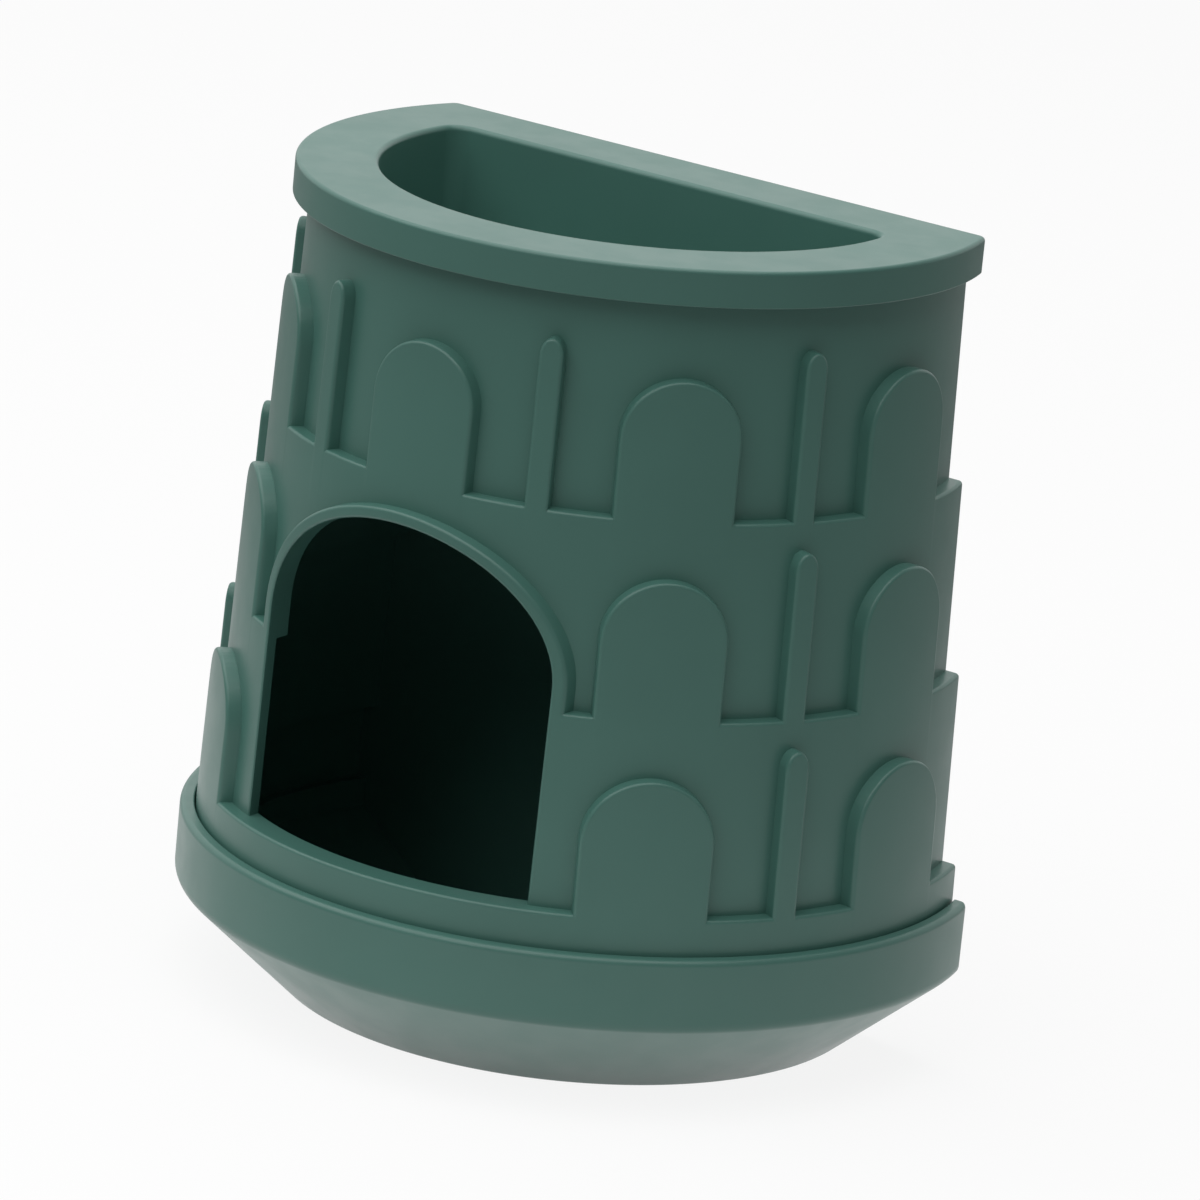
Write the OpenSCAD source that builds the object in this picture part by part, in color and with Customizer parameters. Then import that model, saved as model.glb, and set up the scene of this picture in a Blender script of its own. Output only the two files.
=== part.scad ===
// Half-round reptile hideout. A tower with three lapped tiers of raised arches and an arched
// doorway stands in a lift-off base tray. A feeding cup with a wide flange lifts out of its
// top, and four suction cups on the flat back hold it to a glass wall.
// Millimetres, +Z up, doorway facing -Y. Origin: axis of the round front, level with the foot.

/* [Overall] */
// Height from the foot of the base to the top of the rim
total_h = 123; // [116:1:135]
// Distance from the axis of the round front to the flat back
back_y = 17.7; // [14:0.1:22]
// Wall thickness of the mouldings
wall = 2; // [1.6:0.1:2.6]
// Draft of the tower's wall in degrees
draft = 1.4; // [0.6:0.1:2.4]

/* [Tower] */
// Radius of the topmost panels at the top of the tower
tower_r = 48.2; // [44:0.1:54]
// Height of each step of the wall and of the relief on it
relief = 2.2; // [1.6:0.1:2.6]
// Height of the doorway's sill, which is also the lowest ledge
sill_z = 29.8; // [27.5:0.1:33]
// Plain height above the top tier
frieze_h = 8; // [6:0.1:12]
// Height of a raised arch above its ledge
arch_h = 20.2; // [16:0.1:22]
// Half the angle that a raised arch covers
arch_half_deg = 9.75; // [8:0.05:11]
// Height of a pilaster above its ledge
pilaster_h = 24.4; // [22.5:0.1:25.5]
// Half the angle that a pilaster covers
pilaster_half_deg = 1.95; // [1.5:0.05:2.6]

/* [Doorway] */
// Clear width of the doorway
door_w = 50; // [42:1:54]
// Height of the doorway above the sill
door_h = 50.8; // [47:0.1:53]
// Rise of the doorway's half-oval head
head_h = 19.3; // [16:0.1:23]
// Width of the raised band around the doorway's arch
frame_w = 1.85; // [1.2:0.05:2.6]

/* [Feeding cup] */
// Overhang of the rim beyond the tower's wall
rim_over = 2.5; // [2:0.1:3.5]
// Height of the rim's upright side
rim_h = 4.9; // [4:0.1:6]
// Rounding of the rim's top edge
rim_round = 1; // [0.5:0.1:1.6]
// Thickness of the flange
flange_t = 2.4; // [1.8:0.1:3]
// Width of the flange around the cup's mouth
flange_w = 12.1; // [10:0.1:14]
// Depth of the cup
cup_depth = 28; // [20:0.5:31]
// Draft of the cup's wall in degrees
cup_draft = 2.5; // [1:0.1:4]
// Radius between the cup's round wall and its floor
cup_round = 4; // [3.5:0.1:6]
// Radius between the cup's flat back and its floor
cup_back_round = 3; // [2:0.1:3.4]
// Rounding of the cup's mouth
mouth_round = 0.8; // [0.4:0.1:1.4]

/* [Base tray] */
// Height of the seat that carries the tower
seat_z = 16; // [15.5:0.1:17]
// Height of the lip above the seat
lip_h = 8.6; // [6:0.1:10]
// Thickness of the lip
lip_t = 1.7; // [1.4:0.1:2.2]
// Height at which the lip turns into the tapered underside
turn_z = 14.2; // [12.5:0.1:14.8]
// How far the foot stands in from the lip
foot_in = 16.3; // [13:0.1:19]
// Rounding where the lip turns under
turn_round = 2.2; // [1:0.1:3]
// Rounding around the foot
foot_round = 1.5; // [0.8:0.1:3]
// Width of the seat
seat_w = 3.9; // [3.4:0.1:4.4]

/* [Suction cups] */
// Radius of a suction cup's bell
bell_r = 12; // [10:0.5:14]
// Depth from the tower's back to the suction cup's lip
bell_h = 5.5; // [5:0.1:7]
// Height of the bell's thin lip
bell_lip = 0.8; // [0.5:0.1:1.2]
// Depth of the hollow under the bell
hollow_h = 2.6; // [2:0.1:3]
// Radius of the hub against the tower's back
hub_r = 6; // [5.8:0.1:7]
// Thickness of the hub
hub_t = 2; // [1.6:0.1:2.4]
// Radius of the neck in the keyhole
neck_r = 2.4; // [2:0.1:2.8]
// Radius of the head behind the wall
head_r = 4.2; // [3.6:0.1:4.8]
// Thickness of the head
head_t = 2.6; // [2:0.1:3]
// Distance of the suction cups from the middle
bell_x = 26; // [22:0.5:29]
// Height of the lower suction cups above the sill
bell_low = 35; // [30:0.5:40]
// Distance of the upper suction cups below the top of the rim
bell_top = 22.2; // [18:0.1:26]
// Drop from a suction cup's neck to the wide end of its keyhole
key_drop = 8.6; // [8:0.1:10]

/* [Fits] */
// Gap between the tower's foot and the tray's lip
foot_fit = 0.45; // [0.35:0.05:0.7]
// Gap between the cup's rim and the tower's wall
rim_fit = 0.35; // [0.3:0.05:0.6]
// Gap around a neck or a head in its keyhole
key_fit = 0.3; // [0.2:0.05:0.5]

/* [Hidden] */
$fn = 96;
tiers = 3;
arches = 5;
// Length that reaches past every piece, and overlap of cuts
reach = 400;
over = 1;
// Tier that carries the band around the doorway
door_tier = 2;
// Flat land left at the rim's lower edge
land = 0.4;
// Depth at which a slanted outline ends inside the fillet that follows it
tuck = 0.004;
slope = tan(draft);
lip_top = seat_z + lip_h;
tower_top = total_h - flange_t;
tier_h = (total_h - sill_z - frieze_h) / tiers;
rim_low = total_h - rim_h;
rim_r = hundredth(face_r(tiers, rim_low) + rim_over);
skirt_r = face_r(tiers, rim_low - rim_over) + rim_fit;
skirt_cut = rim_r - skirt_r - land;
mouth_r = rim_r - flange_w;
mouth_z = total_h - mouth_round;
mouth_y = back_y - flange_w;
lip_in = hundredth(face_r(0, seat_z) + foot_fit);
lip_r = lip_in + lip_t;
lip_mid = lip_top - lip_t / 2;
foot_r = lip_r - foot_in;
// Spread of the tapered underside per millimetre of height
taper = foot_in / turn_z;
corner_deg = 90 + asin(back_y / face_r(door_tier, ledge_z(door_tier)));
arch_pitch = 2 * corner_deg / arches;
door_half_deg = asin((door_w / 2 + frame_w) / face_r(1, sill_z));
jamb_h = door_h - head_h;
hollow_r = bell_r - bell_lip;
hollow_sphere = (hollow_r ^ 2 + hollow_h ^ 2) / (2 * hollow_h);

plastic = [0.25, 0.38, 0.34];
plastic_light = [0.29, 0.43, 0.39];
clear_rubber = [0.80, 0.84, 0.82];

// Radius of a tier's panels at a height; tier 0 is the plain band below the sill
function face_r(tier, z) = tower_r + slope * (total_h - z) + (tiers - tier) * relief;
// Height of the ledge at the foot of a tier
function ledge_z(tier) = sill_z + (tier - 1) * tier_h;
// Stepped wall line from the tower's foot to its top, moved in and down by the same amount
function wall_line(inset, low, high) = [
    for (t = [0 : tiers])
        let (a = t == 0 ? low : ledge_z(t) - inset,
             b = t == tiers ? high : ledge_z(t + 1) - inset)
            each [[face_r(t, a) - inset, a], [face_r(t, b) - inset, b]]
];
function hundredth(v) = round(100 * v) / 100;
// Half the width of an ornament that covers a half angle on a tier
function half_width(tier, deg) = hundredth(face_r(tier - 1, ledge_z(tier)) * sin(deg));
// Height of the necks of the lower or the upper suction cups
function neck_z(level) = level == 0 ? sill_z + bell_low : total_h - bell_top;
function unit(v) = v / norm(v);
// Start, end and centre of a fillet at corner b between points a and c
function fillet(a, b, c, r) =
    let (u = unit(a - b), v = unit(c - b), half = acos(u * v) / 2,
         centre = b + unit(u + v) * r / sin(half))
        [for (w = [u, v])
            let (p = b + w * r / tan(half), slanted = w.x * w.y != 0)
                p + unit(centre - p) * (slanted ? tuck : 0),
         centre];

// Keeps what lies in front of the upright plane at y
module in_front_of(y) {
    intersection() {
        children();
        translate([-reach / 2, y - reach, -reach / 2])
            cube(reach);
    }
}

// Turns an outline about the axis, starting from the open side behind the flat back
module turned() {
    rotate([0, 0, 90])
        rotate_extrude()
            children();
}

// Turns an outline drawn against the plane y into a bar along X
module along_x() {
    rotate([90, 0, 90])
        linear_extrude(reach, center = true)
            children();
}

// Carries an upright outline from the axis out to the front at an angle
module outward(deg) {
    rotate([90, 0, deg])
        linear_extrude(reach / 2)
            children();
}

// Solid of the stepped tower wall, drawn in by inset
module tower_body(inset, low, high) {
    turned()
        polygon(concat([[0, low]], wall_line(inset, low, high), [[0, high]]));
}

// Upright outline with a half-round head
module round_headed(half_w, h) {
    translate([-half_w, -over])
        square([2 * half_w, h - half_w + over]);
    translate([0, h - half_w])
        circle(half_w);
}

// Doorway above the sill with its half-oval head, widened by grow
module door_outline(grow) {
    half_w = door_w / 2 + grow;
    translate([-half_w, 0])
        square([2 * half_w, jamb_h]);
    translate([0, jamb_h])
        scale([half_w, head_h + grow])
            circle(1);
}

// Ring in front of a tier's panels that its raised ornament is cut from
module tier_skin(tier) {
    low = ledge_z(tier);
    high = low + tier_h;
    inside = face_r(tier, high) - wall / 2;
    turned()
        polygon([[inside, low], [face_r(tier - 1, low), low],
                 [face_r(tier - 1, high), high], [inside, high]]);
}

// Raised piece of a tier, with the outline of its child, at an angle from the front
module raised(tier, deg) {
    intersection() {
        tier_skin(tier);
        outward(deg)
            children();
    }
}

// Raised arches and pilasters of a tier, with the band around the doorway on the middle tier
module tier_ornament(tier) {
    z = ledge_z(tier);
    // Angle that the doorway keeps clear of ornament on the lower tiers
    clear_deg = tier == tiers ? -1 : door_half_deg;
    for (i = [0 : arches - 1]) {
        deg = (i - (arches - 1) / 2) * arch_pitch;
        if (abs(deg) > clear_deg)
            raised(tier, deg)
                translate([0, z])
                    round_headed(half_width(tier, arch_half_deg), arch_h);
    }
    for (i = [1 : arches - 1]) {
        deg = (i - arches / 2) * arch_pitch;
        if (abs(deg) > clear_deg)
            raised(tier, deg)
                translate([0, z])
                    round_headed(half_width(tier, pilaster_half_deg), pilaster_h);
    }
    if (tier == door_tier)
        raised(tier, 0)
            translate([0, sill_z])
                door_outline(frame_w);
}

// Keyhole in the flat back, with its wide end below the neck
module keyhole() {
    slot = neck_r + key_fit;
    rotate([90, 0, 0])
        linear_extrude(4 * wall, center = true) {
            circle(slot);
            translate([-slot, -key_drop])
                square([2 * slot, key_drop]);
            translate([0, -key_drop])
                circle(head_r + key_fit);
        }
}

// Places a child at the neck of a suction cup on the tower's back
module at_neck(side, level) {
    translate([side * bell_x, back_y, neck_z(level)])
        children();
}

module tower_shell() {
    color(plastic)
        difference() {
            union() {
                difference() {
                    in_front_of(back_y)
                        tower_body(0, seat_z, tower_top);
                    in_front_of(back_y - wall)
                        tower_body(wall, seat_z - over, tower_top + over);
                }
                for (tier = [1 : tiers])
                    tier_ornament(tier);
            }
            outward(0)
                translate([0, sill_z])
                    door_outline(0);
            for (side = [-1, 1], level = [0, 1])
                at_neck(side, level)
                    keyhole();
        }
}

// Rounded flare that a mouth ends in, at a wall at e and a top at z
module flare(e, z, r) {
    difference() {
        translate([e - over, z - r])
            square([r + over, r + over]);
        translate([e + r, z - r])
            circle(r);
    }
}

// Outline of the cup, from its floor at low up to the mouth's rounding, against a wall at e
module cup_outline(from, e, low, r) {
    foot = [e - (mouth_z - low) * tan(cup_draft), low];
    corner = fillet([from, low], foot, [e, mouth_z], r);
    polygon([[from, low], corner[0], corner[1], [e, mouth_z], [from, mouth_z]]);
    translate(corner[2])
        circle(r);
}

// Outside of the cup below the flange: a round front and a flat back
module cup_outside() {
    low = total_h - cup_depth - wall;
    intersection() {
        turned()
            cup_outline(0, mouth_r + wall, low, cup_round + wall);
        along_x()
            cup_outline(-reach / 2, mouth_y + wall, low, cup_back_round + wall);
    }
}

// Outline of the cup's hollow, with its rounded mouth
module hollow_outline(from, e, r) {
    cup_outline(from, e, total_h - cup_depth, r);
    translate([from, mouth_z - over])
        square([e - from - over / 2, mouth_round + 2 * over]);
    flare(e, total_h, mouth_round);
}

// Hollow of the cup
module cup_hollow() {
    intersection() {
        turned()
            hollow_outline(0, mouth_r, cup_round);
        along_x()
            hollow_outline(-reach / 2, mouth_y, cup_back_round);
    }
}

module feeding_cup() {
    skirt_low = rim_low - skirt_cut;
    color(plastic_light)
        difference() {
            union() {
                in_front_of(back_y)
                    turned()
                        difference() {
                            union() {
                                polygon([[0, skirt_low], [rim_r - skirt_cut, skirt_low],
                                         [rim_r, rim_low], [rim_r, total_h - rim_round],
                                         [rim_r - rim_round, total_h], [0, total_h]]);
                                translate([rim_r - rim_round, total_h - rim_round])
                                    circle(rim_round);
                            }
                            translate([0, skirt_low - over])
                                square([skirt_r, tower_top - skirt_low + over]);
                        }
                cup_outside();
            }
            cup_hollow();
        }
}

// Outline of the tray: the foot, the tapered underside, the seat and the round-topped lip
module tray_outline() {
    foot = fillet([0, 0], [foot_r, 0], [lip_r, turn_z], foot_round);
    turn = fillet([foot_r, 0], [lip_r, turn_z], [lip_r, lip_top], turn_round);
    difference() {
        union() {
            polygon([[0, 0], foot[0], foot[1], turn[0], turn[1], [lip_r, lip_mid], [0, lip_mid]]);
            translate(foot[2])
                circle(foot_round);
            translate(turn[2])
                circle(turn_round);
        }
        translate([-over, seat_z])
            square([lip_in + over, lip_h]);
    }
    translate([lip_in + lip_t / 2, lip_mid])
        circle(lip_t / 2);
}

module base_tray() {
    // Inside radius of the tapered floor at the floor and at the seat
    skin = wall * sqrt(1 + taper ^ 2);
    floor_r = foot_r + taper * wall - skin;
    seat_r = lip_in - seat_w;
    drop_z = (seat_r - foot_r + skin) / taper;
    color(plastic)
        difference() {
            in_front_of(back_y)
                turned()
                    tray_outline();
            in_front_of(back_y - wall)
                turned()
                    polygon([[0, wall], [floor_r, wall], [seat_r, drop_z],
                             [seat_r, seat_z + over], [0, seat_z + over]]);
        }
}

// Suction cup, pointing away from the tower's back: head, neck, hub and hollow bell
module suction_cup(side, level) {
    color(clear_rubber)
        at_neck(side, level)
            rotate([-90, 0, 0])
                difference() {
                    rotate_extrude() {
                        translate([0, -wall - head_t])
                            square([head_r - head_t / 2, head_t]);
                        translate([head_r - head_t / 2, -wall - head_t / 2])
                            intersection() {
                                circle(head_t / 2);
                                translate([0, -head_t])
                                    square(2 * head_t);
                            }
                        translate([0, -wall - over])
                            square([neck_r, wall + 2 * over]);
                        polygon([[0, 0], [hub_r, 0], [hub_r, hub_t], [bell_r, bell_h - bell_lip],
                                 [bell_r, bell_h], [0, bell_h]]);
                    }
                    translate([0, 0, bell_h - hollow_h + hollow_sphere])
                        sphere(hollow_sphere);
                }
}

base_tray();
tower_shell();
feeding_cup();
suction_cup(-1, 0);  // suction_cup_low_left
suction_cup(1, 0);  // suction_cup_low_right
suction_cup(-1, 1);  // suction_cup_top_left
suction_cup(1, 1);  // suction_cup_top_right
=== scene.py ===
"""Looks of a half-round reptile hideout: a tower of three tiers of raised arches with a doorway, the
tray that it stands in, the feeding cup that lifts out of its top and the suction cups on its back.

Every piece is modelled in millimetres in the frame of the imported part, and brought to metres last.
Upright axis Z, doorway towards -Y, flat back towards +Y.
"""

import logging
import math
from abc import ABC, abstractmethod
from collections.abc import Iterable, Sequence
from dataclasses import dataclass, field
from enum import Enum

import bmesh
import bpy
from bmesh.types import BMEdge, BMesh, BMFace, BMLayerItem, BMVert
from bpy.types import Material, Node, NodeSocket, Object, World
from mathutils import Matrix, Vector


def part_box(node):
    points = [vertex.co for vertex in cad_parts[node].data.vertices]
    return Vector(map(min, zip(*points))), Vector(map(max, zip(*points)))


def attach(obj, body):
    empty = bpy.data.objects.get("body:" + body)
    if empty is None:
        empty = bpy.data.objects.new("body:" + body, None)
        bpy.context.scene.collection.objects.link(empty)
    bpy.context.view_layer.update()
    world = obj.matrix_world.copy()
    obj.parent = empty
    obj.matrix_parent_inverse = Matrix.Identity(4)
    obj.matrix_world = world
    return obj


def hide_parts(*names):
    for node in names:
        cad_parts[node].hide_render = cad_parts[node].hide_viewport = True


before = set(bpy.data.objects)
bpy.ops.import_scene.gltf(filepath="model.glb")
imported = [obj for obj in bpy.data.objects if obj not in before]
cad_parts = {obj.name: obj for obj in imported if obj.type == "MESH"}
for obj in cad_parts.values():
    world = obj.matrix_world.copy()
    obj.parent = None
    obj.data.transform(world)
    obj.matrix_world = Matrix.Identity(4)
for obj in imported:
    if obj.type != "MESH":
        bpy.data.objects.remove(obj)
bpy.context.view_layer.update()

log = logging.getLogger("hideout")

Colour = tuple[float, float, float]

MM = 0.001
# Overlap of cuts, margin of a plan that only trims, and distance at which points are one, in mm
OVER = 1.0
MARGIN = 0.1
WELD = 0.001
# Degrees of one facet on round walls and on small roundings, and facets across a softened edge
WALL_STEP = 1.0
ROUND_STEP = 10.0
EDGE_FACETS = 3
# Rounding of the seams between pieces at the flat back, in mm
SEAM_ROUND = 0.3
# Edges that turn further than this are shaded crisp
CRISP = math.radians(38)
# Edges of the tower's relief that turn further than this are rounded
SQUARE = math.radians(60)
# Faces of the flat sheet whose normals rise less than this stand upright, and get this tier number
LEAST_RISE = 0.5
UPRIGHT = 100
# Values between which most of a noise lies
NOISE_SPAN = (0.3, 0.7)
# Numbers of a mix node's sockets: its factor, and the pair and the result for numbers and for colours
MIX_FACTOR = 0
MIX_NUMBERS = (2, 3)
MIX_NUMBER = 0
MIX_COLOURS = (6, 7)
MIX_COLOUR = 2


class Body(Enum):
    """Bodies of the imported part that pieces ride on."""

    TRAY = "tray"
    TOWER = "tower"
    CUP = "cup"


class Slot(Enum):
    """Material slots of the record."""

    TRAY = "tray_plastic"
    TOWER = "tower_plastic"
    CUP = "cup_plastic"
    VINYL = "clear_rubber"


class Join(Enum):
    """Ways to combine two solids."""

    ADD = "UNION"
    CUT = "DIFFERENCE"
    COMMON = "INTERSECT"


@dataclass(frozen=True)
class Corner:
    """Corner of an outline: distance across, height and rounding, in mm."""

    across: float
    height: float
    rounding: float = 0.0

    def point(self) -> Vector:
        """The corner's place in the plane of the outline."""
        return Vector((self.across, self.height))


def arc(centre: Sequence[float], radius: float, start: float, turn: float, steps: int) -> list[Vector]:
    """Draws a flat arc.

    Args:
        centre: its middle.
        radius: its radius.
        start: the angle of its first point.
        turn: the angle that it goes through.
        steps: its number of facets.

    Returns:
        Its points.
    """
    angles = [start + turn * step / steps for step in range(steps + 1)]
    return [Vector((centre[0] + radius * math.cos(a), centre[1] + radius * math.sin(a))) for a in angles]


def rounded(corners: Sequence[Corner]) -> list[Vector]:
    """Draws an open outline through corners, with an arc at each rounded one.

    Args:
        corners: the corners in order; the first and the last stay sharp.

    Returns:
        The outline's points in its plane.
    """
    points = [corners[0].point()]
    for before, here, after in zip(corners, corners[1:], corners[2:]):
        corner = here.point()
        if here.rounding == 0:
            points.append(corner)
            continue
        back = (before.point() - corner).normalized()
        ahead = (after.point() - corner).normalized()
        half = back.angle(ahead) / 2
        centre = corner + (back + ahead).normalized() * here.rounding / math.sin(half)
        start = corner + back * here.rounding / math.tan(half) - centre
        end = corner + ahead * here.rounding / math.tan(half) - centre
        sweep = start.angle_signed(end)
        steps = max(2, round(abs(math.degrees(sweep)) / ROUND_STEP))
        points += arc(centre, here.rounding, math.atan2(start.y, start.x), -sweep, steps)
    points.append(corners[-1].point())
    return points


def spun(outline: Sequence[Vector], step_deg: float = WALL_STEP) -> BMesh:
    """Turns an upright outline about the Z axis into a closed solid.

    Args:
        outline: points as distance from the axis and height, from the axis back to the axis.
        step_deg: degrees of one facet.

    Returns:
        The solid, with its faces outwards.
    """
    bm = bmesh.new()
    verts = [bm.verts.new((p.x, 0, p.y)) for p in outline]
    edges = [bm.edges.new(pair) for pair in zip(verts, verts[1:])]
    steps = round(360 / step_deg)
    bmesh.ops.spin(bm, geom=[*verts, *edges], cent=(0, 0, 0), axis=(0, 0, 1), dvec=(0, 0, 0),
                   angle=math.tau, steps=steps, use_merge=True)
    return tidied(bm)


def only(geometry: Iterable, kind: type) -> list:
    """The items of one kind among an operator's results."""
    return [item for item in geometry if isinstance(item, kind)]


def tidied(bm: BMesh) -> BMesh:
    """Merges doubled points and turns the faces of a closed solid outwards.

    Args:
        bm: the solid.

    Returns:
        The same solid.
    """
    bmesh.ops.remove_doubles(bm, verts=bm.verts, dist=WELD)
    bmesh.ops.recalc_face_normals(bm, faces=bm.faces)
    return bm


def pushed(bm: BMesh, faces: Sequence[BMFace], way: Vector) -> None:
    """Pushes faces out of the surface that they are part of, with walls along their border.

    Args:
        bm: the mesh that the faces belong to.
        faces: the faces to push.
        way: how far they go.
    """
    edges = {edge for face in faces for edge in face.edges}
    made = bmesh.ops.extrude_face_region(bm, geom=[*faces, *edges])["geom"]
    bmesh.ops.translate(bm, vec=way, verts=only(made, BMVert))


def keep_front(bm: BMesh, y: float) -> None:
    """Cuts away what lies behind an upright plane and closes the cut.

    Args:
        bm: the solid to cut.
        y: where the plane stands.
    """
    everything = [*bm.verts, *bm.edges, *bm.faces]
    cut = bmesh.ops.bisect_plane(bm, geom=everything, dist=WELD, plane_co=(0, y, 0),
                                 plane_no=(0, 1, 0), clear_outer=True)
    bmesh.ops.edgeloop_fill(bm, edges=only(cut["geom_cut"], BMEdge))
    bmesh.ops.recalc_face_normals(bm, faces=bm.faces)


def soften(bm: BMesh, edges: Iterable[BMEdge], radius: float) -> None:
    """Rounds edges over.

    Args:
        bm: the mesh that the edges belong to.
        edges: the edges to round.
        radius: the width of the rounding.
    """
    bmesh.ops.bevel(bm, geom=list(edges), offset=radius, offset_type="OFFSET", affect="EDGES",
                    segments=EDGE_FACETS, profile=0.5, material=-1, clamp_overlap=False)


def soften_seam(bm: BMesh, y: float, z: float) -> None:
    """Rounds the edge that runs across the part, where two pieces part at the flat back.

    Args:
        bm: the solid that has the edge.
        y: how deep the edge lies.
        z: how high it lies.
    """
    seam = [edge for edge in bm.edges
            if all(abs(vert.co.y - y) < WELD and abs(vert.co.z - z) < WELD for vert in edge.verts)]
    soften(bm, seam, SEAM_ROUND)


def set_out(name: str, bm: BMesh) -> Object:
    """Makes an object of a mesh and links it to the scene.

    Args:
        name: the object's name.
        bm: the mesh, which is used up.

    Returns:
        The object.
    """
    mesh = bpy.data.meshes.new(name)
    bm.to_mesh(mesh)
    bm.free()
    obj = bpy.data.objects.new(name, mesh)
    bpy.context.scene.collection.objects.link(obj)
    return obj


def combined(base: BMesh, tool: BMesh, how: Join) -> BMesh:
    """Combines two closed solids into a new one; both are used up.

    Args:
        base: the solid that is worked on.
        tool: the solid that is added, cut away or intersected.
        how: the way to combine them.

    Returns:
        The combined solid.
    """
    pair = [set_out("base", base), set_out("tool", tool)]
    modifier = pair[0].modifiers.new("join", "BOOLEAN")
    modifier.object = pair[1]
    modifier.operation = how.value
    modifier.solver = "MANIFOLD"
    result = bmesh.new()
    result.from_object(pair[0], bpy.context.evaluated_depsgraph_get())
    for obj in pair:
        bpy.data.meshes.remove(obj.data)
    bmesh.ops.remove_doubles(result, verts=result.verts, dist=WELD)
    return result


def lofted(rings: Sequence[Sequence[Vector]]) -> BMesh:
    """Carries a flat ring through further rings with as many points.

    Args:
        rings: the rings from the first to the last.

    Returns:
        The closed solid.
    """
    bm = bmesh.new()
    cap = bm.faces.new([bm.verts.new(point) for point in rings[0]])
    source = [cap]
    for ring in rings[1:]:
        made = bmesh.ops.extrude_face_region(bm, geom=source, use_keep_orig=len(source) == 1)["geom"]
        cap = only(made, BMFace)[0]
        for vert, point in zip(cap.verts, ring):
            vert.co = point
        source = [cap, *cap.edges]
    return tidied(bm)


def quarter(steps: int) -> list[tuple[float, float]]:
    """Sine and cosine at even steps through a right angle."""
    angles = [math.pi / 2 * step / steps for step in range(steps + 1)]
    return [(math.sin(angle), math.cos(angle)) for angle in angles]


@dataclass(frozen=True)
class HalfRound:
    """Plan of a round front cut by a flat back, with soft corners between the two, in mm."""

    radius: float
    back_y: float
    corner: float
    front_steps: int = 180
    corner_steps: int = 10

    def ring(self, z: float) -> list[Vector]:
        """Draws the plan at a height.

        Args:
            z: the height.

        Returns:
            Points from the back's right corner over the front to its left corner.
        """
        centre_y = self.back_y - self.corner
        centre_x = math.sqrt((self.radius - self.corner) ** 2 - centre_y ** 2)
        meet = math.atan2(centre_y, centre_x)
        upright = math.pi / 2
        right = arc((centre_x, centre_y), self.corner, upright, meet - upright, self.corner_steps)
        front = arc((0, 0), self.radius, meet, -math.pi - 2 * meet, self.front_steps)
        left = [Vector((-p.x, p.y)) for p in reversed(right)]
        return [Vector((p.x, p.y, z)) for p in right + front[1:-1] + left]


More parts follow.
